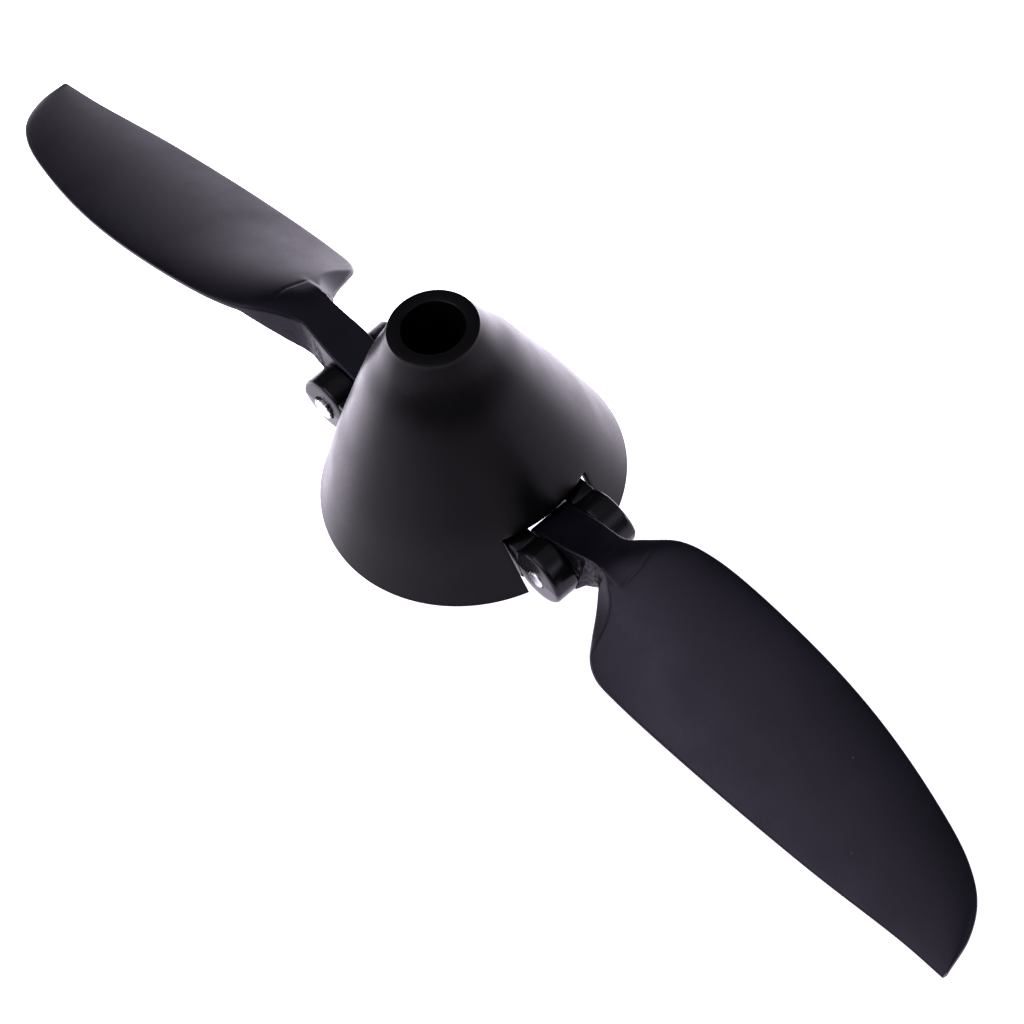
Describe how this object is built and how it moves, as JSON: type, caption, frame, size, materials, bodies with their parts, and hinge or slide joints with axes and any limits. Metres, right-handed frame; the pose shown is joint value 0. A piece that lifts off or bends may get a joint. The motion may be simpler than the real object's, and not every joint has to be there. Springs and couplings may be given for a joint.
{
  "type": "folding propeller",
  "caption": "Small folding aeroplane propeller: hollow cone spinner over a forked yoke, hinged twisted blades on steel pins and a screwed shaft adapter.",
  "frame": {"origin": "on the spin axis, at the rear face of the shaft adapter, which also stands on a table", "axes": "+Z forward along the spin axis to the nose; +X out along blade A; the hinge pins lie along Y"},
  "size_m": [0.1526, 0.032, 0.0314],
  "materials": {
    "spinner_plastic": "moulded black plastic with a soft satin sheen",
    "yoke_plastic": "moulded black plastic, slightly duller than the spinner, with mould lines",
    "blade_plastic": "moulded blue-black plastic, fine satin grain",
    "pin_steel": "bright turned steel with a fine knurl on the head",
    "adapter_aluminium": "turned aluminium",
    "black_steel": "black oxide screw steel",
    "washer_steel": "zinc-plated steel"
  },
  "bodies": {
    "hub": {"spinner_shell": "spinner_plastic", "yoke": "yoke_plastic", "shaft_adapter": "adapter_aluminium", "retaining_screw": "black_steel", "screw_washer": "washer_steel", "set_screw_a": "black_steel", "set_screw_b": "black_steel", "hinge_pin_a": "pin_steel", "hinge_pin_b": "pin_steel"},
    "folding_blade_a": {"blade_a": "blade_plastic"},
    "folding_blade_b": {"blade_b": "blade_plastic"}
  },
  "joints": [
    {"name": "blade_a_fold", "type": "hinge", "parent": "hub", "child": "folding_blade_a", "pos_m": [0.01626, 0, 0.00867], "axis": [0, 1, 0], "range_deg": [-21.5, 78.5]},
    {"name": "blade_b_fold", "type": "hinge", "parent": "hub", "child": "folding_blade_b", "pos_m": [-0.01626, 0, 0.00867], "axis": [0, -1, 0], "range_deg": [-21.5, 78.5]}
  ]
}
